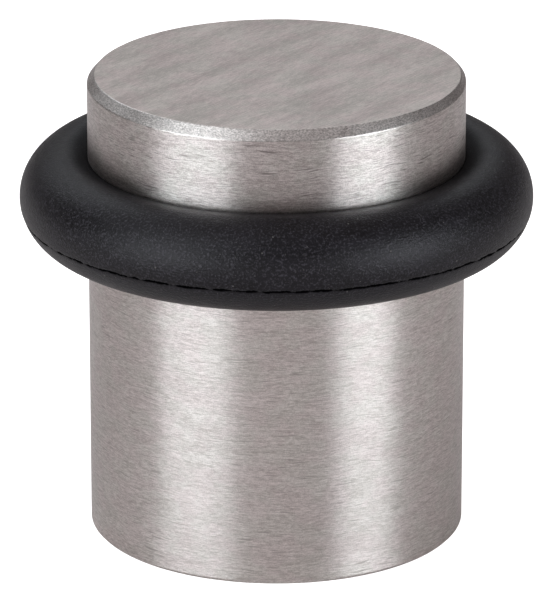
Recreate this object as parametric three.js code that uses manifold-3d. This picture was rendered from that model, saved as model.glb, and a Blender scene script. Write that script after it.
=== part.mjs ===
// Floor door stop: a solid steel post with a rubber buffer ring, screwed down onto a bolt in the floor.
// Millimetres, +Z up. The origin is the centre of the post's base, on the finished floor.

import * as THREE from 'three';
import { mergeVertices } from 'three/addons/utils/BufferGeometryUtils.js';
import Module from 'manifold-3d';

const wasm = await Module();
wasm.setup();

// ---------- driving dimensions ----------

// Facets round each turned piece, round the ring's section and along the groove's arc.
const FACETS = { post: 72, ring: 72, section: 20, groove: 9, bolt: 20, plug: 32 };

// Corners closer than this are one corner. Shapes that trim others run past them by the margin.
const WELD = 1e-5;
const MARGIN = 1;

const POST = { radius: 20, height: 50, topChamfer: 0.8, baseChamfer: 0.4 };

// The buffer is a moulded O-ring, a little flattened where it is stretched over the post.
const RING = { outerRadius: 27.25, halfWidth: 4.82, halfHeight: 5, height: 36.8 };
const RING_CENTRE = RING.outerRadius - RING.halfWidth;

const GROOVE_CLEARANCE = 0.15;

// Blind hole in the base for the bolt, with a shallow recess that clears the collar of the plug.
const HOLE = { depth: 20, clearance: 0.25, drillCone: 2.4, recessRadius: 7.5, recessDepth: 1.6 };

// M8 hanger bolt: machine thread above, wood-screw thread and point below, plain shank between them.
const BOLT = {
  top: 16,
  machineLow: -2,
  woodHigh: -6,
  tip: -34,
  shankRadius: 3.45,
  shankOverlap: 0.6,
  endChamfer: 0.9,
  pointLength: 7,
  tipRadius: 0.35,
};

// Thread outlines: radii and pitch, then the root, flank and crest as shares of the pitch.
const MACHINE_THREAD = { major: 4, core: 3.25, pitch: 1.25, root: 0.2, flank: 0.32, crest: 0.16 };
const WOOD_THREAD = { major: 3.85, core: 2.8, pitch: 3.2, root: 0.52, flank: 0.2, crest: 0.08 };

// Nylon plug in the floor: split legs with barbs, two fins against turning and a thin collar.
const PLUG = {
  bottom: -40,
  top: -0.3,
  radius: 4.95,
  boreRadius: 4.1,
  footRadius: 3.6,
  footWall: 1,
  collarRadius: 6.3,
  collarThickness: 0.9,
  barbs: 7,
  barbDepth: 0.55,
  barbPitch: 3.2,
  barbRise: 0.7,
  barbFall: 0.15,
  firstBarb: -38,
  slotWidth: 1.3,
  slotTop: -13.5,
  finThickness: 1.1,
  finRoot: 4.5,
  finReach: 6.1,
  finLow: -12.2,
  finHigh: -3,
};

const MATERIALS = {
  steel: { color: 0xa89f9a, roughness: 0.36, metalness: 1 },
  rubber: { color: 0x232227, roughness: 0.62, metalness: 0 },
  zinc: { color: 0xb9bcc0, roughness: 0.3, metalness: 1 },
  nylon: { color: 0x8d9093, roughness: 0.55, metalness: 0 },
};

// ---------- helpers ----------

/** Turns a closed three.js geometry into a manifold solid. */
function solid(geometry) {
  geometry.deleteAttribute('normal');
  geometry.deleteAttribute('uv');
  const merged = mergeVertices(geometry, WELD);
  const corners = merged.index.array;
  const kept = [];
  for (let i = 0; i < corners.length; i += 3) {
    const [a, b, c] = corners.slice(i, i + 3);
    if (a !== b && b !== c && c !== a) kept.push(a, b, c);
  }
  return new wasm.Manifold(
    new wasm.Mesh({
      numProp: 3,
      vertProperties: new Float32Array(merged.attributes.position.array),
      triVerts: new Uint32Array(kept),
    }),
  );
}

/** Turns a manifold solid back into a three.js geometry with flat facets. */
function geometryOf(shape) {
  const { vertProperties, triVerts } = shape.getMesh();
  const geometry = new THREE.BufferGeometry();
  geometry.setAttribute('position', new THREE.BufferAttribute(vertProperties, 3));
  geometry.setIndex(new THREE.BufferAttribute(triVerts, 1));
  geometry.computeVertexNormals();
  return geometry;
}

/** Spins a profile of [radius, height] points about Z. The outer side of the profile runs upwards. */
function turned(profile, segments) {
  const points = profile.map(([radius, height]) => new THREE.Vector2(radius, height));
  return solid(new THREE.LatheGeometry(points, segments).rotateX(Math.PI / 2));
}

/** A box given by its size and centre. */
function block(size, centre) {
  return solid(new THREE.BoxGeometry(...size).translate(...centre));
}

/** Points on an arc of the ring's section grown by a clearance, both ends included. Angles in radians. */
function ringArc(clearance, from, to, steps) {
  const halfWidth = RING.halfWidth + clearance;
  const halfHeight = RING.halfHeight + clearance;
  return Array.from({ length: steps + 1 }, (_, i) => {
    const angle = from + ((to - from) * i) / steps;
    return [RING_CENTRE + halfWidth * Math.cos(angle), RING.height + halfHeight * Math.sin(angle)];
  });
}

/**
 * A rod whose surface is one helical ridge, from low to at least high, with slanted ends. The ridge's
 * outline is given in shares of the pitch: the root, then a flank, then the crest, then the other flank.
 */
function helicalRod(thread, low, high, segments) {
  const outline = [
    [thread.core, 0],
    [thread.core, thread.root],
    [thread.major, thread.root + thread.flank],
    [thread.major, thread.root + thread.flank + thread.crest],
  ];
  const steps = Math.ceil((high - low) / thread.pitch) * segments;
  const positions = [];
  for (let i = 0; i <= steps + segments; i++) {
    const angle = (2 * Math.PI * i) / segments;
    for (const [radius, share] of outline) {
      const height = low + thread.pitch * (i / segments + share);
      positions.push(radius * Math.cos(angle), radius * Math.sin(angle), height);
    }
  }
  const row = outline.length;
  const at = (i, k) => (k < row ? i * row + k : (i + segments) * row);
  const faces = [];
  for (let i = 0; i < steps; i++) {
    for (let k = 0; k < row; k++) {
      faces.push(at(i, k), at(i + 1, k), at(i + 1, k + 1));
      faces.push(at(i, k), at(i + 1, k + 1), at(i, k + 1));
    }
  }
  // Each end is a fan from a point on the axis, past the end's slant, to one turn of the root line
  // and the ridge's outline.
  const fan = (start, reach, outward) => {
    const centre = positions.length / 3;
    positions.push(0, 0, reach);
    const rim = [];
    for (let i = 0; i <= segments; i++) rim.push(at(start + i, 0));
    for (let k = row - 1; k > 0; k--) rim.push(at(start, k));
    rim.forEach((corner, n) => {
      const next = rim[(n + 1) % rim.length];
      faces.push(...(outward ? [centre, corner, next] : [centre, next, corner]));
    });
  };
  fan(0, low - thread.pitch, false);
  fan(steps, high + 3 * thread.pitch, true);
  const geometry = new THREE.BufferGeometry();
  geometry.setAttribute('position', new THREE.Float32BufferAttribute(positions, 3));
  geometry.setIndex(faces);
  return solid(geometry);
}

function mesh(name, shape, material) {
  const made = new THREE.Mesh(geometryOf(shape), new THREE.MeshStandardMaterial(material));
  made.name = name;
  return made;
}

// ---------- pieces ----------

/** Steel post, turned from one bar, with a round-bottomed groove for the ring and a blind base hole. */
function stopBody() {
  const mouth = Math.acos((POST.radius - RING_CENTRE) / (RING.halfWidth + GROOVE_CLEARANCE));
  const holeRadius = MACHINE_THREAD.major + HOLE.clearance;
  return turned(
    [
      [0, HOLE.depth + HOLE.drillCone],
      [holeRadius, HOLE.depth],
      [holeRadius, HOLE.recessDepth],
      [HOLE.recessRadius, HOLE.recessDepth],
      [HOLE.recessRadius, 0],
      [POST.radius - POST.baseChamfer, 0],
      [POST.radius, POST.baseChamfer],
      ...ringArc(GROOVE_CLEARANCE, 2 * Math.PI - mouth, mouth, FACETS.groove),
      [POST.radius, POST.height - POST.topChamfer],
      [POST.radius - POST.topChamfer, POST.height],
      [0, POST.height],
    ],
    FACETS.post,
  );
}

/** Rubber ring: its inner side fills the groove, and its outer side is what the door meets. */
function bufferRing() {
  return turned(ringArc(0, 0, 2 * Math.PI, FACETS.section), FACETS.ring);
}

/** Hanger bolt: machine thread up into the post, wood-screw thread down into the plug. */
function hangerBolt() {
  const { top, machineLow, woodHigh, tip, shankRadius, shankOverlap } = BOLT;
  const machineLimits = turned(
    [
      [0, machineLow],
      [MACHINE_THREAD.major + MARGIN, machineLow],
      [MACHINE_THREAD.major + MARGIN, top - BOLT.endChamfer - MARGIN],
      [MACHINE_THREAD.major - BOLT.endChamfer, top],
      [0, top],
    ],
    FACETS.bolt,
  );
  const woodLimits = turned(
    [
      [0, tip],
      [BOLT.tipRadius, tip],
      [WOOD_THREAD.major + MARGIN, tip + BOLT.pointLength],
      [WOOD_THREAD.major + MARGIN, woodHigh],
      [0, woodHigh],
    ],
    FACETS.bolt,
  );
  const shank = turned(
    [
      [0, woodHigh - shankOverlap],
      [shankRadius, woodHigh - shankOverlap],
      [shankRadius, machineLow + shankOverlap],
      [0, machineLow + shankOverlap],
    ],
    FACETS.bolt,
  );
  const machine = helicalRod(MACHINE_THREAD, machineLow - 2 * MACHINE_THREAD.pitch, top, FACETS.bolt);
  const wood = helicalRod(WOOD_THREAD, tip - 2 * WOOD_THREAD.pitch, woodHigh, FACETS.bolt);
  return machine.intersect(machineLimits).add(wood.intersect(woodLimits)).add(shank);
}

/** Floor plug: a barbed tube whose lower part is split into four legs that the bolt spreads. */
function wallPlug() {
  const { top, bottom, radius, collarRadius, collarThickness, boreRadius, footRadius } = PLUG;
  const barbs = Array.from({ length: PLUG.barbs }, (_, i) => PLUG.firstBarb + i * PLUG.barbPitch);
  const tube = turned(
    [
      [boreRadius, top],
      [boreRadius, BOLT.tip],
      [footRadius - PLUG.footWall, bottom],
      [footRadius, bottom],
      ...barbs.flatMap((height) => [
        [radius - PLUG.barbDepth, height],
        [radius, height + PLUG.barbPitch * PLUG.barbRise],
        [radius - PLUG.barbDepth, height + PLUG.barbPitch * (PLUG.barbRise + PLUG.barbFall)],
      ]),
      [radius, PLUG.slotTop],
      [radius, top - collarThickness],
      [collarRadius, top - collarThickness / 2],
      [collarRadius, top],
      [boreRadius, top],
    ],
    FACETS.plug,
  );
  const slotHeight = PLUG.slotTop - bottom + MARGIN;
  const slotMiddle = PLUG.slotTop - slotHeight / 2;
  const slot = block([2 * collarRadius, PLUG.slotWidth, slotHeight], [0, 0, slotMiddle]);
  const crossSlot = block([PLUG.slotWidth, 2 * collarRadius, slotHeight], [0, 0, slotMiddle]);
  const finDepth = PLUG.finReach - PLUG.finRoot;
  const finHeight = PLUG.finHigh - PLUG.finLow;
  const fins = [1, -1].map((side) =>
    block(
      [finDepth, PLUG.finThickness, finHeight],
      [side * (PLUG.finReach - finDepth / 2), 0, PLUG.finLow + finHeight / 2],
    ),
  );
  return tube.add(fins[0]).add(fins[1]).subtract(slot).subtract(crossSlot);
}

// ---------- the assembly ----------

const doorStop = new THREE.Group();
doorStop.add(mesh('stop_body', stopBody(), MATERIALS.steel));
doorStop.add(mesh('buffer_ring', bufferRing(), MATERIALS.rubber));
doorStop.add(mesh('hanger_bolt', hangerBolt(), MATERIALS.zinc));
doorStop.add(mesh('wall_plug', wallPlug(), MATERIALS.nylon));

export default doorStop;
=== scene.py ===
"""A floor door stop: a brushed steel post with a black rubber ring, screwed onto a bolt in the floor.

Metres, +Z up. The origin is the centre of the post's base, on the floor.
"""

import math

import bmesh
import bpy
import numpy as np
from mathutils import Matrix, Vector, noise


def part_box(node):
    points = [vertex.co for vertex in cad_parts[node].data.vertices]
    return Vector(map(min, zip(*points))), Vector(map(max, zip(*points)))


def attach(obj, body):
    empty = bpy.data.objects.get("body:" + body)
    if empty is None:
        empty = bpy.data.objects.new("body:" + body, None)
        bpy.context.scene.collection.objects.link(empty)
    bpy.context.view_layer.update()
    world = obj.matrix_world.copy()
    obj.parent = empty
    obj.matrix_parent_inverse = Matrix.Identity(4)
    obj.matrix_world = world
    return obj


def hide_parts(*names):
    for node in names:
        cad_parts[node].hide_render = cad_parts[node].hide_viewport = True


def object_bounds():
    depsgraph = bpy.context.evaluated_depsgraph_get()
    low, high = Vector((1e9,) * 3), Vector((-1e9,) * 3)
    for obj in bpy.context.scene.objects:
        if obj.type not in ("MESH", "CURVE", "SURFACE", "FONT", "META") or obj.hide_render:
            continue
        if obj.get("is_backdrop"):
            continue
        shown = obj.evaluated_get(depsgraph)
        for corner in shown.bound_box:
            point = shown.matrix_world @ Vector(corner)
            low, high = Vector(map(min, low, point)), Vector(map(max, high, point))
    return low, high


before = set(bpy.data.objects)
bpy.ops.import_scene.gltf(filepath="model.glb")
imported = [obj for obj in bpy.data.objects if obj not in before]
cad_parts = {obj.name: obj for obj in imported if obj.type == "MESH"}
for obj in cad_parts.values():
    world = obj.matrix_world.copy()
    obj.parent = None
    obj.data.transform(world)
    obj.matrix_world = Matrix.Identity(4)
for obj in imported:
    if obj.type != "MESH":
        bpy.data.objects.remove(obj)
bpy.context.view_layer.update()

MM = 0.001
TURN = 2 * math.pi

# ---------- sizes, from the frame where it has them ----------

post_low, post_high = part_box("stop_body")
ring_low, ring_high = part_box("buffer_ring")
bolt_low, bolt_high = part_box("hanger_bolt")
plug_low, plug_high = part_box("wall_plug")

POST_RADIUS = post_high.x
POST_HEIGHT = post_high.z
POST_STEPS = 384
EDGE_ROUND = 0.07 * MM
SUPPORT = 0.12 * MM
FOOT_SUPPORT = 0.02 * MM
ROUND_STEPS = 3

# The top chamfer was cut by hand, so it is wider on one side of the post.
CHAMFER_WIDTH = 0.66 * MM
CHAMFER_DROP = 0.74 * MM
CHAMFER_SWING = 0.3 * MM
CHAMFER_WIDEST = math.radians(-112)
EDGE_WANDER = 0.05 * MM
BASE_CHAMFER = 0.35 * MM

# The threaded hole in the base, and the shallow recess round its mouth.
HOLE_DEPTH = 20 * MM
HOLE_CHAMFER = 0.5 * MM
DRILL_CONE = 2.4 * MM
RECESS_RADIUS = 7.5 * MM
RECESS_DEPTH = 1.6 * MM

RING_RADIUS = ring_high.x
RING_SAG = 0.07 * MM  # it sits this much low in its groove
RING_HEIGHT = (ring_low.z + ring_high.z) / 2 - RING_SAG
RING_HALF_HEIGHT = (ring_high.z - ring_low.z) / 2
RING_HALF_WIDTH = 4.82 * MM
RING_CENTRE = RING_RADIUS - RING_HALF_WIDTH
GROOVE_CLEARANCE = 0.015 * MM
GROOVE_SUPPORTS = (0.04 * MM, 0.25 * MM)
GROOVE_OVERRUN = 0.005  # radians by which the groove's arc runs past the post's side at each lip

# The mould's parting line has rolled below the widest point of the ring.
PARTING_ANGLE = math.radians(-19)
PARTING_DEPTH = 0.1 * MM
PARTING_WIDTH = 0.22 * MM

# Threads: the pitch, the radii of root and crest, and the widths of the ridge at each.
PITCH = 1.25 * MM
BOLT_CORE = 3.25 * MM
BOLT_MAJOR = bolt_high.x
BOLT_RIDGE = (1.0 * MM, 0.2 * MM)
SHANK_RADIUS = 3.45 * MM
BOLT_CHAMFER = 0.7 * MM
MACHINE_END = -2 * MM
MACHINE_STEP = 0.3 * MM
WOOD_START = -6 * MM
WOOD_STEP = 0.8 * MM
WOOD_PITCH = 3.2 * MM
WOOD_CORE = 2.8 * MM
WOOD_MAJOR = 3.85 * MM
WOOD_RIDGE = (1.35 * MM, 0.14 * MM)
POINT_LENGTH = 7 * MM
NUT_MAJOR = 4.12 * MM
NUT_MINOR = 3.4 * MM
NUT_RIDGE = (1.0 * MM, 0.28 * MM)
THREAD_ROOT_SUNK = 0.1 * MM

TIP_RADIUS = 0.35 * MM
BOLT_STEPS = 96

PLUG_STEPS = 64
PLUG_RADIUS = 4.95 * MM
PLUG_BORE = 4.1 * MM
PLUG_FOOT = 3.6 * MM
PLUG_BARB_DEPTH = 0.55 * MM
PLUG_BARB_START = 2 * MM
PLUG_COLLAR = 0.45 * MM
PLUG_SLOT_WIDTH = 1.3 * MM
PLUG_SLOT_TOP = -13.5 * MM

# Attributes of the ring: the angle round its section from the parting line, and the line's depth.
FROM_PARTING = "from_parting"
PARTING_LINE = "parting_line"

# Direction, in plan, of the straight brushing on the top face.
BRUSH_ANGLE = math.radians(53)

# ---------- studio settings ----------

LENS = 355
CAMERA_ELEVATION = math.radians(19.71)
CAMERA_DISTANCE = 0.632
CAMERA_TARGET = (0.16 * MM, 0, 24.64 * MM)

# The floor also glows, to the lens only, so that it stays white out to the skyline.
FLOOR_REACH = 6.0
FLOOR_COLOUR = (0.8, 0.75, 0.738, 1)
FLOOR_LIFT = 1.0

# Brightness of the room: all round, low down in front, and overhead, and where each part fades out
# along the Y and Z of its direction. The room's light is a little warm.
ROOM_LEVEL = 0.13
ROOM_FRONT = 0.79
ROOM_TOP = 0.42
FRONT_SIDES = (0.86, 0.97)
FRONT_UPPER = (0.18, 0.3)
OVERHEAD = (0.78, 0.92)
ROOM_COLOUR = (1.09, 1.0, 1.0, 1)
BACKDROP = 1.2

# The soft boxes: name, azimuths from and to, elevations from and to, in degrees, and brightness.
# Azimuth 0 is the camera's side and 90 is +X. Their light is a little cool.
PANEL_DISTANCE = 0.7
PANEL_COLOUR = (0.92, 1.0, 1.035)
PANELS = [
    ("left low", -72, -26.5, 0, 14, 6.7),
    ("left high", -78, -32, 18, 60, 2.4),
    ("right low", 36, 72, 0, 14, 7.8),
    ("right high", 48, 79, 14, 36, 3.7),
    ("back", 158, 236, 28, 60, 1.2),
]


# ---------- node helpers ----------


class Value:
    """A node output. Arithmetic on it adds Math nodes to its tree."""

    def __init__(self, nodes, socket):
        self.nodes = nodes
        self.socket = socket

    def math(self, operation, *values):
        return self.nodes.add("ShaderNodeMath", {"operation": operation}, dict(enumerate(values)))

    def __add__(self, other):
        return self.math("ADD", self, other)

    def __radd__(self, other):
        return self.math("ADD", other, self)

    def __sub__(self, other):
        return self.math("SUBTRACT", self, other)

    def __rsub__(self, other):
        return self.math("SUBTRACT", other, self)

    def __mul__(self, other):
        return self.math("MULTIPLY", self, other)

    def __rmul__(self, other):
        return self.math("MULTIPLY", other, self)

    def __truediv__(self, other):
        return self.math("DIVIDE", self, other)

    def __pow__(self, other):
        return self.math("POWER", self, other)

    def clamp(self):
        return self.nodes.add("ShaderNodeClamp", {}, {"Value": self})

    def step(self, low, high):
        """0 below low, 1 above high, and a smooth rise between them."""
        settings = {"interpolation_type": "SMOOTHSTEP"}
        inputs = {"Value": self, "From Min": low, "From Max": high}
        return self.nodes.add("ShaderNodeMapRange", settings, inputs)


def find_socket(sockets, key):
    """The shown socket with this number, name or identifier."""
    shown = [s for s in sockets if s.enabled]
    if isinstance(key, int):
        return shown[key]
    return next(s for s in shown if key in (s.name, s.identifier))


class Nodes:
    """Adds nodes to a shader or geometry tree."""

    def __init__(self, tree):
        self.tree = tree

    def add(self, kind, settings=None, inputs=None, output=0):
        """A node of this kind, with its settings made first, then its sockets. Returns one output."""
        node = self.tree.nodes.new(kind)
        for name, value in (settings or {}).items():
            setattr(node, name, value)
        targets = [(find_socket(node.inputs, key), value) for key, value in (inputs or {}).items()]
        for socket, value in targets:
            for item in value if isinstance(value, list) else [value]:
                self.feed(socket, item)
        return Value(self, find_socket(node.outputs, output)) if node.outputs else None

    def feed(self, socket, value):
        if isinstance(value, Value):
            self.tree.links.new(value.socket, socket)
        else:
            socket.default_value = value

    def vector(self, operation, *values):
        return self.add("ShaderNodeVectorMath", {"operation": operation}, dict(enumerate(values)))

    def mix(self, factor, a, b):
        settings = {"data_type": "RGBA"}
        return self.add("ShaderNodeMix", settings, {"Factor": factor, "A": a, "B": b})


class Finish(Nodes):
    """A procedural material on Object coordinates."""

    def __init__(self, name):
        self.material = bpy.data.materials.new(name)
        self.material.use_nodes = True
        super().__init__(self.material.node_tree)
        self.tree.nodes.clear()
        self.place = self.add("ShaderNodeTexCoord", output="Object")

    def stretched(self, spacing, offset=(0, 0, 0)):
        """Object coordinates divided by a feature size along each axis, in metres."""
        scale = tuple(1 / s for s in spacing)
        return self.vector("MULTIPLY_ADD", self.place, scale, offset)

    def noise(self, coordinates, detail=2.0, roughness=0.5, distortion=0.0):
        inputs = {
            "Vector": coordinates,
            "Scale": 1.0,
            "Detail": detail,
            "Roughness": roughness,
            "Distortion": distortion,
        }
        return self.add("ShaderNodeTexNoise", {}, inputs)

    def specks(self, spacing, size, share):
        """Sparse soft dots: about one cell in 1/share has a dot, of up to this size, in metres."""
        inputs = {"Vector": self.stretched((spacing,) * 3), "Scale": 1.0}
        distance = self.add("ShaderNodeTexVoronoi", {}, inputs, "Distance")
        colour = self.add("ShaderNodeTexVoronoi", {}, inputs, "Color")
        lot = self.add("ShaderNodeSeparateColor", {}, {"Color": colour}, "Red")
        bulk = self.add("ShaderNodeSeparateColor", {}, {"Color": colour}, "Green")
        reach = (0.3 + 0.7 * bulk) * (size / spacing)
        return (1 - (distance / reach).step(0.6, 1.0)) * lot.step(1 - share, 1 - share + 0.01)

    def principled(self, **sockets):
        """A Principled shader. Keyword names are its sockets' names with underscores."""
        inputs = {key.replace("_", " "): value for key, value in sockets.items()}
        return self.add("ShaderNodeBsdfPrincipled", {}, inputs)

    def surface(self, **sockets):
        """Ends the material in a Principled shader."""
        return self.end(self.principled(**sockets))

    def end(self, shader):
        self.add("ShaderNodeOutputMaterial", {}, {"Surface": shader})
        return self.material

    def bump(self, height, strength, distance):
        inputs = {"Height": height, "Strength": strength, "Distance": distance}
        return self.add("ShaderNodeBump", {}, inputs)


# ---------- finishes ----------


def tinted(finish, shade, dark, light, seed):
    """Steel between a dark and a light grey, with faint patches that are pinker or greener."""
    patch = finish.noise(finish.stretched((3.5 * MM, 3.5 * MM, 2.5 * MM), (seed, 5, 2)), 3.0, 0.6)
    cool = finish.mix(shade, dark[0], light[0])
    warm = finish.mix(shade, dark[1], light[1])
    return finish.mix(patch.step(0.4, 0.6), cool, warm)


def brushed_side():
    """Steel brushed round the post, in short overlapping strokes, with painted shade darkening its head."""
    finish = Finish("steel brushed round")
    sway = finish.noise(finish.stretched((6 * MM, 6 * MM, 5 * MM)), 1.0)
    x, y, z = (
        finish.add("ShaderNodeSeparateXYZ", {}, {"Vector": finish.place}, axis) for axis in "XYZ"
    )
    height = z + (sway - 0.5) * (0.8 * MM)

    def strokes(length, width, detail, offset):
        inputs = {"X": x / length + offset, "Y": y / length, "Z": height / width}
        vector = finish.add("ShaderNodeCombineXYZ", {}, inputs)
        return finish.noise(vector, detail, 0.55)

    fine = strokes(0.62 * MM, 0.09 * MM, 2.0, 0.0)
    middle = strokes(1.9 * MM, 0.15 * MM, 2.0, 31.0)
    grit = finish.noise(finish.stretched((0.13 * MM, 0.13 * MM, 0.1 * MM)), 1.0)
    patch = finish.noise(finish.stretched((6 * MM, 6 * MM, 1.6 * MM), (7, 3, 0)), 3.0, 0.6)
    grain = 0.38 * fine + 0.25 * middle + 0.27 * grit + 0.1 * patch
    hairs = strokes(2.4 * MM, 0.17 * MM, 1.0, 83.0).step(0.6, 0.72) * patch.step(0.4, 0.56)
    specks = finish.specks(1.3 * MM, 0.12 * MM, 0.12)
    marks = 1 - 0.75 * (1 - (1 - specks) * (1 - hairs))
    head = z.step(0.75 * POST_HEIGHT, 0.85 * POST_HEIGHT)
    shade = (0.5 + (grain - 0.5) * (5.0 + 2.0 * head)).clamp() * marks
    dark = ((0.442, 0.405, 0.381, 1), (0.45, 0.395, 0.382, 1))
    light = ((0.752, 0.71, 0.682, 1), (0.765, 0.698, 0.68, 1))
    colour = tinted(finish, shade, dark, light, 4)
    # Painted shade: the head's colour is mixed a tenth of the way to black, as the lamps light it less than
    # the body. The hairlines' darkening is marks in the steel.
    return finish.surface(
        Base_Color=finish.mix(0.1 * head + (0.14 + 0.16 * head) * hairs, colour, (0, 0, 0, 1)),
        Metallic=1.0,
        Roughness=0.25 + 0.1 * patch + 0.1 * (1 - grain),
        Anisotropic=0.8,
        Anisotropic_Rotation=0.25,
        Normal=finish.bump(grain * marks, 0.6, 0.03 * MM),
    )


def brushed_face():
    """The top face, brushed in straight parallel strokes across the post."""
    finish = Finish("steel brushed across")
    turned = finish.add(
        "ShaderNodeMapping",
        {"vector_type": "POINT"},
        {"Vector": finish.place, "Rotation": (0, 0, -BRUSH_ANGLE)},
    )
    x, y = (finish.add("ShaderNodeSeparateXYZ", {}, {"Vector": turned}, axis) for axis in "XY")

    def strokes(length, width, detail, offset):
        vector = finish.add("ShaderNodeCombineXYZ", {}, {"X": x / length + offset, "Y": y / width})
        return finish.noise(vector, detail, 0.6)

    fine = strokes(1.3 * MM, 0.13 * MM, 2.0, 0.0)
    long = strokes(8 * MM, 0.2 * MM, 2.0, 23.0)
    broad = strokes(11 * MM, 2.4 * MM, 3.0, 11.0)
    grit = finish.noise(finish.stretched((0.13 * MM,) * 3), 1.0)
    grain = 0.38 * fine + 0.1 * long + 0.22 * grit + 0.3 * broad
    shade = (0.5 + (grain - 0.5) * 6).clamp()
    dark = ((0.443, 0.396, 0.37, 1), (0.458, 0.385, 0.37, 1))
    light = ((0.694, 0.622, 0.585, 1), (0.71, 0.61, 0.585, 1))
    return finish.surface(
        Base_Color=tinted(finish, shade, dark, light, 9),
        Metallic=1.0,
        Roughness=0.36 + 0.12 * grain,
        Normal=finish.bump(fine + grit, 0.12, 0.02 * MM),
    )


def cut_edge():
    """The chamfers: a grainier cut than the brushed faces."""
    finish = Finish("steel cut edge")
    grain = finish.noise(finish.stretched((0.22 * MM, 0.22 * MM, 0.12 * MM)), 2.0, 0.7)
    patch = finish.noise(finish.stretched((2 * MM, 2 * MM, 2 * MM)), 2.0)
    colour = finish.mix(grain.step(0.3, 0.7), (0.41, 0.38, 0.365, 1), (0.86, 0.81, 0.79, 1))
    return finish.surface(
        Base_Color=colour,
        Metallic=1.0,
        Roughness=0.22 + 0.12 * grain + 0.16 * patch,
        Normal=finish.bump(grain, 0.5, 0.05 * MM),
    )


def turned_inside():
    """Bare turned steel of the base and its hole, with the fine rings that a lathe leaves."""
    finish = Finish("steel turned")
    rings = finish.noise(finish.stretched((0.6 * MM, 0.6 * MM, 0.3 * MM)), 2.0)
    colour = finish.mix(rings, (0.46, 0.44, 0.43, 1), (0.66, 0.64, 0.63, 1))
    return finish.surface(
        Base_Color=colour,
        Metallic=1.0,
        Roughness=0.3 + 0.15 * rings,
        Normal=finish.bump(rings, 0.2, 0.03 * MM),
    )


def black_rubber():
    """Moulded black rubber with a satin skin and dust on it, a sunk parting line with painted shade in it,
    painted shade on its top beside the post, and painted light below the parting line.
    """
    finish = Finish("rubber black")
    angle = finish.add("ShaderNodeAttribute", {"attribute_name": FROM_PARTING}, {}, "Fac")
    parting = finish.add("ShaderNodeAttribute", {"attribute_name": PARTING_LINE}, {}, "Fac")
    grain = finish.noise(finish.stretched((0.22 * MM,) * 3), 2.0, 0.7)
    streaks = finish.noise(finish.stretched((0.9 * MM, 0.9 * MM, 0.16 * MM), (1, 8, 3)), 2.0, 0.6)
    smudge = finish.noise(finish.stretched((4 * MM, 4 * MM, 1.6 * MM), (9, 2, 4)), 3.0, 0.6)
    dust = finish.specks(1.1 * MM, 0.14 * MM, 0.5)
    lint = finish.specks(0.5 * MM, 0.1 * MM, 0.5)
    # Painted shade along the sunk parting line: the groove's shadow is painted in with the matte black
    # shader below.
    line = (parting + (grain - 0.5) * 1.1).step(0.22, 0.55)
    # The ring's top beside the post: rougher there, and painted shade with the matte black below, which
    # also takes away its reflection of the steel.
    shaded_crevice = angle.step(1.85, 2.25)
    skin = finish.mix(smudge.step(0.35, 0.8), (0.0010, 0.0008, 0.0014, 1), (0.0048, 0.0041, 0.0062, 1))
    mottled = finish.mix(grain.step(0.48, 0.72), skin, (0.037, 0.034, 0.041, 1))
    # Painted light: below the parting line the rubber is painted a lighter grey, for the light from the
    # floor.
    lower = finish.mix((0 - angle).step(0.0, 0.15) * 0.35, mottled, (0.0125, 0.0125, 0.014, 1))
    dusty = finish.mix((dust * 0.26 + lint * 0.12).clamp(), lower, (0.3, 0.28, 0.27, 1))
    rough = 0.19 + 0.16 * smudge + 0.16 * grain + 0.1 * streaks + 0.15 * shaded_crevice
    rubber = finish.principled(
        Base_Color=dusty,
        Roughness=rough,
        Specular_IOR_Level=0.27,
        Specular_Tint=(1.0, 0.955, 1.0, 1),
        Normal=finish.bump(grain + streaks * 0.8 + dust, 0.9, 0.06 * MM),
    )
    # A matte black with no reflection, mixed in as painted shade along the parting line and on the ring's
    # top beside the post.
    dark = finish.principled(Base_Color=(0.001, 0.001, 0.0012, 1), Roughness=1.0, Specular_IOR_Level=0.0)
    painted_shade = (line + 0.55 * shaded_crevice).clamp()
    return finish.end(finish.add("ShaderNodeMixShader", {}, {"Fac": painted_shade, 1: rubber, 2: dark}))


def zinc_plate():
    finish = Finish("zinc plate")
    patch = finish.noise(finish.stretched((1.5 * MM, 1.5 * MM, 1.5 * MM)), 3.0, 0.6)
    colour = finish.mix(patch, (0.55, 0.57, 0.6, 1), (0.74, 0.76, 0.78, 1))
    return finish.surface(
        Base_Color=colour,
        Metallic=1.0,
        Roughness=0.2 + 0.2 * patch,
        Normal=finish.bump(patch, 0.15, 0.03 * MM),
    )


def grey_nylon():
    finish = Finish("nylon grey")
    grain = finish.noise(finish.stretched((0.3 * MM,) * 3), 3.0, 0.6)
    colour = finish.mix(grain, (0.2, 0.205, 0.21, 1), (0.26, 0.265, 0.27, 1))
    return finish.surface(
        Base_Color=colour,
        Roughness=0.42 + 0.14 * grain,
        Normal=finish.bump(grain, 0.2, 0.03 * MM),
    )


# ---------- mesh helpers ----------


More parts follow.
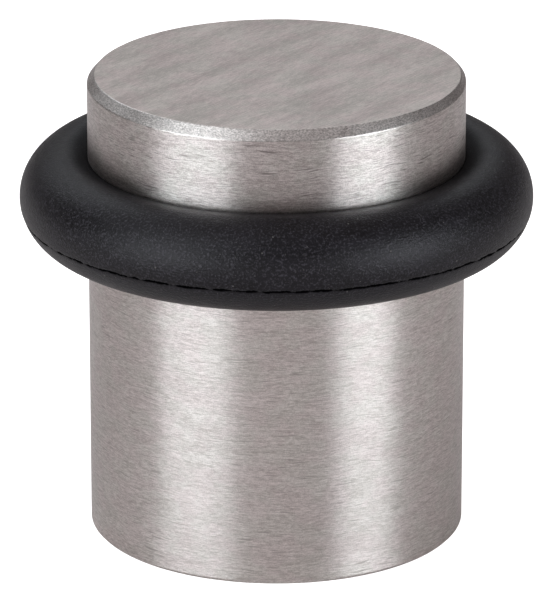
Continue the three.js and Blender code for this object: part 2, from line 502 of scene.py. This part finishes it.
def spin(name, rings, finishes, steps):
    """A closed mesh spun about Z from rings of (radius, height, finish of the band above it).

    Radii and heights are numbers or one value per step. The outer side of the profile runs upwards.
    A profile starts and ends on the axis, with radius 0, or else its last ring joins its first.
    """
    angles = np.arange(steps) * TURN / steps
    around = [(r * np.cos(angles), r * np.sin(angles), z + 0 * angles) for r, z, f in rings]
    corners = np.array(around).transpose(0, 2, 1).reshape(-1, 3)
    polar = np.ndim(rings[0][0]) == 0 and rings[0][0] == 0
    faces, bands = [], []
    for i in range(len(rings) - 1 if polar else len(rings)):
        low, high = i * steps, (i + 1) % len(rings) * steps
        for n in range(steps):
            m = (n + 1) % steps
            below = [low + n, low + m] if i or not polar else [low]
            above = [high + m, high + n] if i < len(rings) - 2 or not polar else [high]
            faces.append(below + above)
            bands.append(rings[i][2])
    mesh = bpy.data.meshes.new(name)
    mesh.from_pydata(corners.tolist(), [], faces)
    for finish in finishes:
        mesh.materials.append(finish)
    mesh.polygons.foreach_set("material_index", bands)
    mesh.polygons.foreach_set("use_smooth", [True] * len(faces))
    piece = bpy.data.objects.new(name, mesh)
    bpy.context.scene.collection.objects.link(piece)
    drop_loose(mesh)
    return piece


def drop_loose(mesh):
    """Removes the corners that a pole leaves without a face."""
    work = bmesh.new()
    work.from_mesh(mesh)
    bmesh.ops.delete(work, geom=[v for v in work.verts if not v.link_faces], context="VERTS")
    work.to_mesh(mesh)
    work.free()


def rounded(corner, before, after, radius, finish, support=SUPPORT):
    """Rings that round one corner of a profile, with a supporting ring on each side of it.

    corner, before and after are (radius, height) pairs, whose parts may be one value per step.
    """
    corner, before, after = ([np.asarray(v, float) for v in p] for p in (corner, before, after))

    def towards(target, distance):
        gap = [t - c for t, c in zip(target, corner)]
        length = np.hypot(*gap)
        return [c + g / length * distance for c, g in zip(corner, gap)]

    start, end = towards(before, radius), towards(after, radius)
    rings = [(*towards(before, radius + support), finish[0]), (*start, finish[0])]
    for i in range(1, ROUND_STEPS):
        t = i / ROUND_STEPS
        blend = [(1 - t) ** 2 * s + 2 * t * (1 - t) * c + t * t * e for s, c, e in zip(start, corner, end)]
        rings.append((*blend, finish[0] if t < 0.5 else finish[1]))
    return rings + [(*end, finish[1]), (*towards(after, radius + support), finish[1])]


def join(piece, other, finish):
    """Adds the other piece's faces to a piece, with the given finish, and removes the other piece."""
    work = bmesh.new()
    work.from_mesh(piece.data)
    own = len(work.faces)
    work.from_mesh(other.data)
    work.faces.ensure_lookup_table()
    for face in work.faces[own:]:
        face.material_index = finish
    work.to_mesh(piece.data)
    work.free()
    bpy.data.objects.remove(other)


def edge_wear(angles, seed):
    """How far a hand-cut edge wanders, at each angle round the post."""
    places = [Vector((math.cos(a), math.sin(a), seed)) for a in angles]
    slow = np.array([noise.noise(p * 5) for p in places])
    fine = np.array([noise.noise(p * 40) for p in places])
    return EDGE_WANDER * (0.6 * slow + 0.4 * fine)


# ---------- geometry nodes ----------


class Shape(Nodes):
    """A geometry tree whose named inputs are sizes. It adds to the geometry of the piece it is run on."""

    KINDS = {int: "NodeSocketInt", float: "NodeSocketFloat", bpy.types.Material: "NodeSocketMaterial"}

    def __init__(self, name):
        super().__init__(bpy.data.node_groups.new(name, "GeometryNodeTree"))
        self.values = {}
        for way in ("INPUT", "OUTPUT"):
            self.tree.interface.new_socket("Geometry", in_out=way, socket_type="NodeSocketGeometry")
        self.entry = self.tree.nodes.new("NodeGroupInput")
        self.start = Value(self, self.entry.outputs["Geometry"])

    def size(self, name, value):
        """One named input, and the value that this piece gives it."""
        kind = next(k for t, k in self.KINDS.items() if isinstance(value, t))
        socket = self.tree.interface.new_socket(name, in_out="INPUT", socket_type=kind)
        self.values[socket.identifier] = value
        return Value(self, self.entry.outputs[name])

    def store(self, geometry, name, value):
        settings = {"data_type": "FLOAT", "domain": "POINT"}
        inputs = {"Geometry": geometry, "Name": name, "Value": value}
        return self.add("GeometryNodeStoreNamedAttribute", settings, inputs)

    def stored(self, name):
        settings = {"data_type": "FLOAT"}
        return self.add("GeometryNodeInputNamedAttribute", settings, {"Name": name}, "Attribute")

    def factor(self):
        return self.add("GeometryNodeSplineParameter", {}, {}, "Factor")

    def combine(self, x, y, z):
        return self.add("ShaderNodeCombineXYZ", {}, {"X": x, "Y": y, "Z": z})

    def round_place(self, radius, turn, height):
        """A place given by its radius, turn about Z and height."""
        return self.combine(radius * turn.math("COSINE", turn), radius * turn.math("SINE", turn), height)

    def noise(self, vector, detail):
        return self.add("ShaderNodeTexNoise", {}, {"Vector": vector, "Scale": 1.0, "Detail": detail})

    def boolean(self, operation, inputs):
        return self.add("GeometryNodeMeshBoolean", {"operation": operation, "solver": "MANIFOLD"}, inputs)

    def finish(self, geometry, material, sharp=30.0):
        """Ends the tree: real geometry, smooth but for its sharp edges, with its material."""
        real = self.add("GeometryNodeRealizeInstances", {}, {"Geometry": geometry})
        smooth = self.add("GeometryNodeSetShadeSmooth", {"domain": "FACE"}, {"Geometry": real})
        edge = self.add("GeometryNodeInputMeshEdgeAngle", {}, {}, "Unsigned Angle")
        inputs = {
            "Geometry": smooth,
            "Selection": edge.math("GREATER_THAN", edge, math.radians(sharp)),
            "Shade Smooth": False,
        }
        creased = self.add("GeometryNodeSetShadeSmooth", {"domain": "EDGE"}, inputs)
        painted = self.add("GeometryNodeSetMaterial", {}, {"Geometry": creased, "Material": material})
        self.add("NodeGroupOutput", {}, {0: painted})

    def apply(self, piece):
        """Runs the tree on a piece and keeps the result as its plain mesh."""
        modifier = piece.modifiers.new("shape", "NODES")
        modifier.node_group = self.tree
        for identifier, value in self.values.items():
            modifier[identifier] = value
        depsgraph = bpy.context.evaluated_depsgraph_get()
        mesh = bpy.data.meshes.new_from_object(piece.evaluated_get(depsgraph))
        piece.modifiers.clear()
        mesh.name = piece.name
        piece.data = mesh
        return piece


def empty_piece(name):
    piece = bpy.data.objects.new(name, bpy.data.meshes.new(name))
    bpy.context.scene.collection.objects.link(piece)
    return piece


def add_thread(piece, material, pitch, low, high, radii, widths, taper=(0, 0), phase=0.0, cone=(-1, 1e-6)):
    """Adds a right-hand helical ridge to a piece.

    radii and widths are those of the ridge's root and crest. taper is the length over which the ridge
    fades out, at the low end and at the high end. phase moves it by a share of its pitch. cone is the
    tip and length of a pointed end, which the ridge follows. Without one the ridge keeps its radii.
    """
    shape = Shape("screw thread")
    rise = shape.size("Pitch", pitch)
    start = shape.size("Low", low)
    turns = shape.size("Turns", (high - low) / pitch)
    root_radius = shape.size("Root Radius", radii[0])
    crest_radius = shape.size("Crest Radius", radii[1])
    root_width = shape.size("Root Width", widths[0])
    crest_width = shape.size("Crest Width", widths[1])
    low_taper = shape.size("Taper Low", max(taper[0], pitch / 4))
    high_taper = shape.size("Taper High", max(taper[1], pitch / 4))
    shift = shape.size("Phase", low / pitch + phase)
    tip = shape.size("Tip", float(cone[0]))
    point = shape.size("Point Length", float(cone[1]))
    count = shape.size("Steps Per Turn", 72)
    skin = shape.size("Material", material)

    line = shape.add("GeometryNodeCurvePrimitiveLine", {}, {"Start": (0, 0, 0), "End": (0, 0, 1)})
    guide = shape.add("GeometryNodeResampleCurve", {}, {"Curve": line, "Count": turns * count + 1})
    guide = shape.store(guide, "turns", shape.factor() * turns)
    outline = shape.add("GeometryNodeCurvePrimitiveQuadrilateral", {}, {"Width": 2.0, "Height": 2.0})
    corner = shape.add("GeometryNodeInputPosition")
    side, half = (shape.add("ShaderNodeSeparateXYZ", {}, {"Vector": corner}, axis) for axis in "XY")
    crest = side.math("GREATER_THAN", side, 0.0)
    outline = shape.store(outline, "crest", crest)
    outline = shape.store(outline, "up", half * (root_width + crest * (crest_width - root_width)) / 2)
    ridge = shape.add(
        "GeometryNodeCurveToMesh", {}, {"Curve": guide, "Profile Curve": outline, "Fill Caps": True}
    )
    made = shape.stored("turns")
    climbed = made * rise
    left = turns * rise - climbed
    fade = climbed.math("MINIMUM", (climbed / low_taper).clamp(), (left / high_taper).clamp())
    full = root_radius + shape.stored("crest") * fade * (crest_radius - root_radius)
    radius = full * ((start + climbed - tip) / point).clamp()
    height = start + climbed + shape.stored("up") * (0.25 + 0.75 * fade)
    inputs = {"Geometry": ridge, "Position": shape.round_place(radius, (made + shift) * TURN, height)}
    placed = shape.add("GeometryNodeSetPosition", {}, inputs)
    outside = crest_radius.math("GREATER_THAN", crest_radius, root_radius)
    turned = shape.add("GeometryNodeFlipFaces", {}, {"Mesh": placed, "Selection": outside})
    joined = shape.add("GeometryNodeJoinGeometry", {}, {"Geometry": [turned, shape.start]})
    shape.finish(joined, skin)
    return shape.apply(piece)


# ---------- pieces ----------


def rubber_ring(material):
    """The buffer: an O-ring swept round the post, with a ragged parting line sunk into it."""
    shape = Shape("moulded ring")
    centre = shape.size("Centre Radius", RING_CENTRE)
    height = shape.size("Height", RING_HEIGHT)
    half_width = shape.size("Half Width", RING_HALF_WIDTH)
    half_height = shape.size("Half Height", RING_HALF_HEIGHT)
    around = shape.size("Steps Around", 640)
    section = shape.size("Steps In Section", 112)
    parting = shape.size("Parting Angle", PARTING_ANGLE)
    depth = shape.size("Parting Depth", PARTING_DEPTH)
    width = shape.size("Parting Width", PARTING_WIDTH)
    wander_size = shape.size("Parting Wander", 0.42 * MM)
    crowding = shape.size("Crowding At Parting", 0.85)
    seed = shape.size("Seed", 4.0)
    skin = shape.size("Material", material)

    guide = shape.add("GeometryNodeCurvePrimitiveCircle", {}, {"Resolution": around, "Radius": centre})
    guide = shape.store(guide, "turn", shape.factor() * TURN)
    outline = shape.add("GeometryNodeCurvePrimitiveCircle", {}, {"Resolution": section, "Radius": centre})
    share = shape.factor()
    even = (share - share.math("GREATER_THAN", share, 0.5)) * TURN
    outline = shape.store(outline, FROM_PARTING, even - crowding * even.math("SINE", even))
    swept = shape.add("GeometryNodeCurveToMesh", {}, {"Curve": guide, "Profile Curve": outline})
    turn, off_parting = shape.stored("turn"), shape.stored(FROM_PARTING)
    lumps = shape.noise(shape.round_place(seed * 6, turn, seed), 4.0)
    wander = (shape.noise(shape.round_place(seed * 5, turn, seed + 7), 4.0) - 0.5) * wander_size
    off_line = (off_parting * half_width - wander) / width
    dip = (1 + off_line * off_line) ** -2.0 * (0.35 + 0.65 * lumps.step(0.36, 0.6))
    swept = shape.store(swept, PARTING_LINE, dip)
    step = depth * 0.25 * off_line.step(0.6, -0.6)
    sunk = depth * shape.stored(PARTING_LINE) + step
    angle = off_parting + parting
    across = centre + (half_width - sunk) * angle.math("COSINE", angle)
    up = height + (half_height - sunk) * angle.math("SINE", angle)
    inputs = {"Geometry": swept, "Position": shape.round_place(across, turn, up)}
    placed = shape.add("GeometryNodeSetPosition", {}, inputs)
    turned = shape.add("GeometryNodeFlipFaces", {}, {"Mesh": placed})
    shape.finish(turned, skin, 60.0)
    return shape.apply(empty_piece("rubber_ring"))


def groove_rings(finish):
    """The groove in the post, from its lower lip to its upper lip, with rounded lips."""
    half_width = RING_HALF_WIDTH + GROOVE_CLEARANCE
    half_height = RING_HALF_HEIGHT + GROOVE_CLEARANCE
    mouth = math.acos((POST_RADIUS - RING_CENTRE) / half_width)
    angles = np.linspace(TURN - mouth - GROOVE_OVERRUN, mouth + GROOVE_OVERRUN, 25)
    arc = [
        (RING_CENTRE + half_width * math.cos(a), RING_HEIGHT + half_height * math.sin(a), finish)
        for a in angles
    ]
    lips = [RING_HEIGHT + way * half_height * math.sin(mouth) for way in (-1, 1)]
    side = 0
    low, high = (
        [(POST_RADIUS, lip + way * reach, side) for reach in GROOVE_SUPPORTS]
        for lip, way in zip(lips, (-1, 1))
    )
    return low[::-1] + arc + high


def steel_post(finishes):
    """The post, turned from one bar: sides, groove, uneven top chamfer and threaded base hole."""
    side, face, edge, inside = range(4)
    angles = np.arange(POST_STEPS) * TURN / POST_STEPS
    swing = CHAMFER_SWING * np.cos(angles - CHAMFER_WIDEST)
    rim = (POST_RADIUS - CHAMFER_WIDTH - swing - edge_wear(angles, 1), POST_HEIGHT + 0 * angles)
    shoulder = (POST_RADIUS + 0 * angles, POST_HEIGHT - CHAMFER_DROP - swing - edge_wear(angles, 9))
    foot_low = (POST_RADIUS - BASE_CHAMFER, 0.0)
    foot_high = (POST_RADIUS, BASE_CHAMFER)
    waist = (POST_RADIUS, POST_HEIGHT / 2)
    rings = [
        (0, HOLE_DEPTH + DRILL_CONE, inside),
        (NUT_MAJOR, HOLE_DEPTH, inside),
        (NUT_MAJOR, RECESS_DEPTH + HOLE_CHAMFER, inside),
        (NUT_MAJOR + HOLE_CHAMFER, RECESS_DEPTH, inside),
        (RECESS_RADIUS, RECESS_DEPTH, inside),
        *rounded((RECESS_RADIUS, 0), (RECESS_RADIUS, RECESS_DEPTH), foot_low, EDGE_ROUND, (inside, inside)),
        *rounded(foot_low, (RECESS_RADIUS, 0), foot_high, EDGE_ROUND, (inside, edge)),
        *rounded(foot_high, foot_low, waist, EDGE_ROUND, (edge, side), FOOT_SUPPORT),
        *groove_rings(inside),
        *rounded(shoulder, (POST_RADIUS, 0), rim, EDGE_ROUND, (side, edge)),
        *rounded(rim, shoulder, (0, POST_HEIGHT), EDGE_ROUND, (edge, face)),
        (POST_RADIUS / 2, POST_HEIGHT, face),
        (0, POST_HEIGHT, face),
    ]
    post = spin("steel_post", rings, finishes, POST_STEPS)
    nut = add_thread(
        empty_piece("nut_thread"),
        finishes[inside],
        PITCH,
        RECESS_DEPTH + PITCH / 2,
        HOLE_DEPTH - PITCH / 2,
        (NUT_MAJOR + THREAD_ROOT_SUNK / 2, NUT_MINOR),
        NUT_RIDGE,
        phase=0.5,
    )
    join(post, nut, inside)
    return post


def zinc_bolt(material):
    """The hanger bolt: machine thread above, wood-screw thread and point below."""
    tip, top = bolt_low.z, bolt_high.z
    rings = [
        (0, tip, 0),
        (TIP_RADIUS, tip, 0),
        (WOOD_CORE, tip + POINT_LENGTH, 0),
        (WOOD_CORE, WOOD_START - WOOD_STEP, 0),
        (SHANK_RADIUS, WOOD_START, 0),
        (SHANK_RADIUS, MACHINE_END, 0),
        (BOLT_CORE, MACHINE_END + MACHINE_STEP, 0),
        (BOLT_CORE, top - BOLT_CHAMFER, 0),
        (BOLT_CORE - BOLT_CHAMFER, top, 0),
        (0, top, 0),
    ]
    bolt = spin("zinc_bolt", rings, [material], BOLT_STEPS)
    ends = (MACHINE_END + 0.2 * MM, top - 0.5 * MM)
    radii = (BOLT_CORE - THREAD_ROOT_SUNK, BOLT_MAJOR)
    add_thread(bolt, material, PITCH, *ends, radii, BOLT_RIDGE, (PITCH / 2, PITCH))
    ends = (tip + 0.6 * MM, WOOD_START - WOOD_STEP)
    radii = (WOOD_CORE - THREAD_ROOT_SUNK, WOOD_MAJOR)
    taper = (3 * MM, WOOD_PITCH / 2)
    return add_thread(
        bolt, material, WOOD_PITCH, *ends, radii, WOOD_RIDGE, taper, cone=(tip, POINT_LENGTH)
    )


def nylon_plug(material):
    """The floor plug: a tube with a row of barbs, two fins, and a cross of slots that part its legs."""
    low, top = plug_low.z, plug_high.z
    rings = [
        (0, low, 0),
        (PLUG_FOOT, low, 0),
        (PLUG_RADIUS - PLUG_BARB_DEPTH, low + PLUG_BARB_START, 0),
        (PLUG_RADIUS - PLUG_BARB_DEPTH, PLUG_SLOT_TOP - 1 * MM, 0),
        (PLUG_RADIUS, PLUG_SLOT_TOP, 0),
        (PLUG_RADIUS, top - 2 * PLUG_COLLAR, 0),
        (plug_high.x, top - PLUG_COLLAR, 0),
        (plug_high.x, top, 0),
        (0, top, 0),
    ]
    body = spin("nylon_plug", rings, [material], PLUG_STEPS)

    shape = Shape("barbed plug")
    count = shape.size("Barbs", 7)
    first = shape.size("First Barb", low + PLUG_BARB_START)
    spacing = shape.size("Barb Spacing", 3.2 * MM)
    radius = shape.size("Radius", PLUG_RADIUS)
    depth = shape.size("Barb Depth", PLUG_BARB_DEPTH)
    rise = shape.size("Barb Length", 2.4 * MM)
    sunk = shape.size("Barb Sunk", 0.05 * MM)
    bore = shape.size("Bore Radius", PLUG_BORE)
    bore_low = shape.size("Bore Low", bolt_low.z)
    bore_high = shape.size("Bore High", top + 1 * MM)
    foot = shape.size("Foot Low", low - 0.1 * MM)
    foot_bore = shape.size("Foot Bore Radius", PLUG_FOOT - 1 * MM)
    slot = shape.size("Slot Width", PLUG_SLOT_WIDTH)
    slot_top = shape.size("Slot Top", PLUG_SLOT_TOP)
    fin_reach = shape.size("Fin Reach", 6.1 * MM)
    fin_low = shape.size("Fin Low", -12.2 * MM)
    fin_high = shape.size("Fin High", -3 * MM)
    fin_width = shape.size("Fin Width", 1.1 * MM)
    skin = shape.size("Material", material)

    places = shape.add(
        "GeometryNodeMeshLine",
        {"mode": "OFFSET"},
        {
            "Count": count,
            "Start Location": shape.combine(0, 0, first),
            "Offset": shape.combine(0, 0, spacing),
        },
    )
    root = radius - depth - sunk
    cone = {"Vertices": PLUG_STEPS, "Radius Top": radius, "Radius Bottom": root, "Depth": rise}
    barb = shape.add("GeometryNodeMeshCone", {}, cone)
    barbs = shape.add("GeometryNodeInstanceOnPoints", {}, {"Points": places, "Instance": barb})
    barbs = shape.add("GeometryNodeRealizeInstances", {}, {"Geometry": barbs})

    def box(x, y, bottom, upper):
        size = shape.combine(x, y, upper - bottom)
        made = shape.add("GeometryNodeMeshCube", {}, {"Size": size})
        middle = shape.combine(0, 0, (upper + bottom) / 2)
        return shape.add("GeometryNodeTransform", {}, {"Geometry": made, "Translation": middle})

    fins = box(2 * fin_reach, fin_width, fin_low, fin_high)
    slots = [box(slot, 4 * radius, foot, slot_top), box(4 * radius, slot, foot, slot_top)]
    tube = shape.add(
        "GeometryNodeMeshCylinder",
        {},
        {"Vertices": PLUG_STEPS, "Radius": bore, "Depth": bore_high - bore_low},
    )
    middle = shape.combine(0, 0, (bore_high + bore_low) / 2)
    tube = shape.add("GeometryNodeTransform", {}, {"Geometry": tube, "Translation": middle})
    funnel = shape.add(
        "GeometryNodeMeshCone",
        {},
        {"Vertices": PLUG_STEPS, "Radius Top": bore, "Radius Bottom": foot_bore, "Depth": bore_low - foot},
    )
    low_end = shape.combine(0, 0, foot)
    funnel = shape.add("GeometryNodeTransform", {}, {"Geometry": funnel, "Translation": low_end})
    whole = shape.boolean("UNION", {"Mesh 2": [shape.start, barbs, fins]})
    cut = shape.boolean("DIFFERENCE", {"Mesh 1": whole, "Mesh 2": [tube, funnel, *slots]})
    shape.finish(cut, skin)
    return shape.apply(body)


# ---------- studio ----------


def plain_floor():
    """A wide pale floor, white to the lens and a little darker in reflections."""
    mesh = bpy.data.meshes.new("floor")
    reach = FLOOR_REACH
    corners = [(x * reach, y * reach, post_low.z) for x, y in ((-1, -1), (1, -1), (1, 1), (-1, 1))]
    mesh.from_pydata(corners, [], [(0, 1, 2, 3)])
    floor = bpy.data.objects.new("floor", mesh)
    bpy.context.scene.collection.objects.link(floor)
    material = bpy.data.materials.new("floor white")
    material.use_nodes = True
    material.node_tree.nodes.clear()
    nodes = Nodes(material.node_tree)
    seen = nodes.add("ShaderNodeLightPath", {}, {}, "Is Camera Ray")
    inputs = {
        "Base Color": FLOOR_COLOUR,
        "Roughness": 0.9,
        "Specular IOR Level": 0.0,
        "Emission Color": nodes.mix(seen, (0, 0, 0, 1), (1, 1, 1, 1)),
        "Emission Strength": FLOOR_LIFT,
    }
    shader = nodes.add("ShaderNodeBsdfPrincipled", {}, inputs)
    nodes.add("ShaderNodeOutputMaterial", {}, {"Surface": shader})
    mesh.materials.append(material)
    floor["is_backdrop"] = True


def studio_world():
    """A dim room round the soft boxes: brighter low down in front and overhead, white to the lens."""
    world = bpy.data.worlds.new("studio")
    world.use_nodes = True
    world.node_tree.nodes.clear()
    nodes = Nodes(world.node_tree)
    way = nodes.add("ShaderNodeTexCoord", output="Generated")
    y, z = (nodes.add("ShaderNodeSeparateXYZ", {}, {"Vector": way}, axis) for axis in "YZ")
    front = (0 - y).step(*FRONT_SIDES) * (1 - z.step(*FRONT_UPPER))
    above = z.step(*OVERHEAD)
    level = ROOM_LEVEL + (ROOM_FRONT - ROOM_LEVEL) * front + (ROOM_TOP - ROOM_LEVEL) * above
    seen = nodes.add("ShaderNodeLightPath", {}, {}, "Is Camera Ray")
    colour = nodes.mix(seen, ROOM_COLOUR, (1, 1, 1, 1))
    strength = level + seen * (BACKDROP - level)
    shader = nodes.add("ShaderNodeBackground", {}, {"Color": colour, "Strength": strength})
    nodes.add("ShaderNodeOutputWorld", {}, {"Surface": shader})
    bpy.context.scene.world = world


def soft_box(name, azimuths, elevations, brightness):
    """A soft box that covers this much of the view from the post."""
    azimuth, elevation = (math.radians(sum(span) / 2) for span in (azimuths, elevations))
    across = math.cos(elevation)
    away = Vector((math.sin(azimuth) * across, -math.cos(azimuth) * across, math.sin(elevation)))
    data = bpy.data.lights.new(name, "AREA")
    data.shape = "RECTANGLE"
    data.color = PANEL_COLOUR
    data.size = 2 * PANEL_DISTANCE * across * math.tan(math.radians(azimuths[1] - azimuths[0]) / 2)
    data.size_y = 2 * PANEL_DISTANCE * math.tan(math.radians(elevations[1] - elevations[0]) / 2)
    data.energy = brightness * math.pi * data.size * data.size_y
    light = bpy.data.objects.new(name, data)
    bpy.context.scene.collection.objects.link(light)
    light.location = Vector((0, 0, POST_HEIGHT / 2)) + away * PANEL_DISTANCE
    light.rotation_euler = away.to_track_quat("Z", "Y").to_euler()


def camera():
    """A long lens, a little above the object."""
    data = bpy.data.cameras.new("camera")
    data.sensor_width = 36
    data.lens = LENS
    view = bpy.data.objects.new("camera", data)
    bpy.context.scene.collection.objects.link(view)
    back = Vector((0, -math.cos(CAMERA_ELEVATION), math.sin(CAMERA_ELEVATION)))
    view.location = Vector(CAMERA_TARGET) + back * CAMERA_DISTANCE
    view.rotation_euler = back.to_track_quat("Z", "Y").to_euler()
    bpy.context.scene.camera = view


# ---------- the scene ----------

camera()
plain_floor()
studio_world()
for name, left, right, low, high, brightness in PANELS:
    soft_box(name, (left, right), (low, high), brightness)
bpy.context.scene.view_settings.view_transform = "Standard"

steel = [brushed_side(), brushed_face(), cut_edge(), turned_inside()]
PIECES = [
    (steel_post(steel), "post", "steel", "stop_body"),
    (rubber_ring(black_rubber()), "ring", "rubber", "buffer_ring"),
    (zinc_bolt(zinc_plate()), "fixing", "zinc", "hanger_bolt"),
    (nylon_plug(grey_nylon()), "fixing", "nylon", "wall_plug"),
]
for piece, body, slot, node in PIECES:
    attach(piece, body)
    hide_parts(node)

low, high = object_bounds()
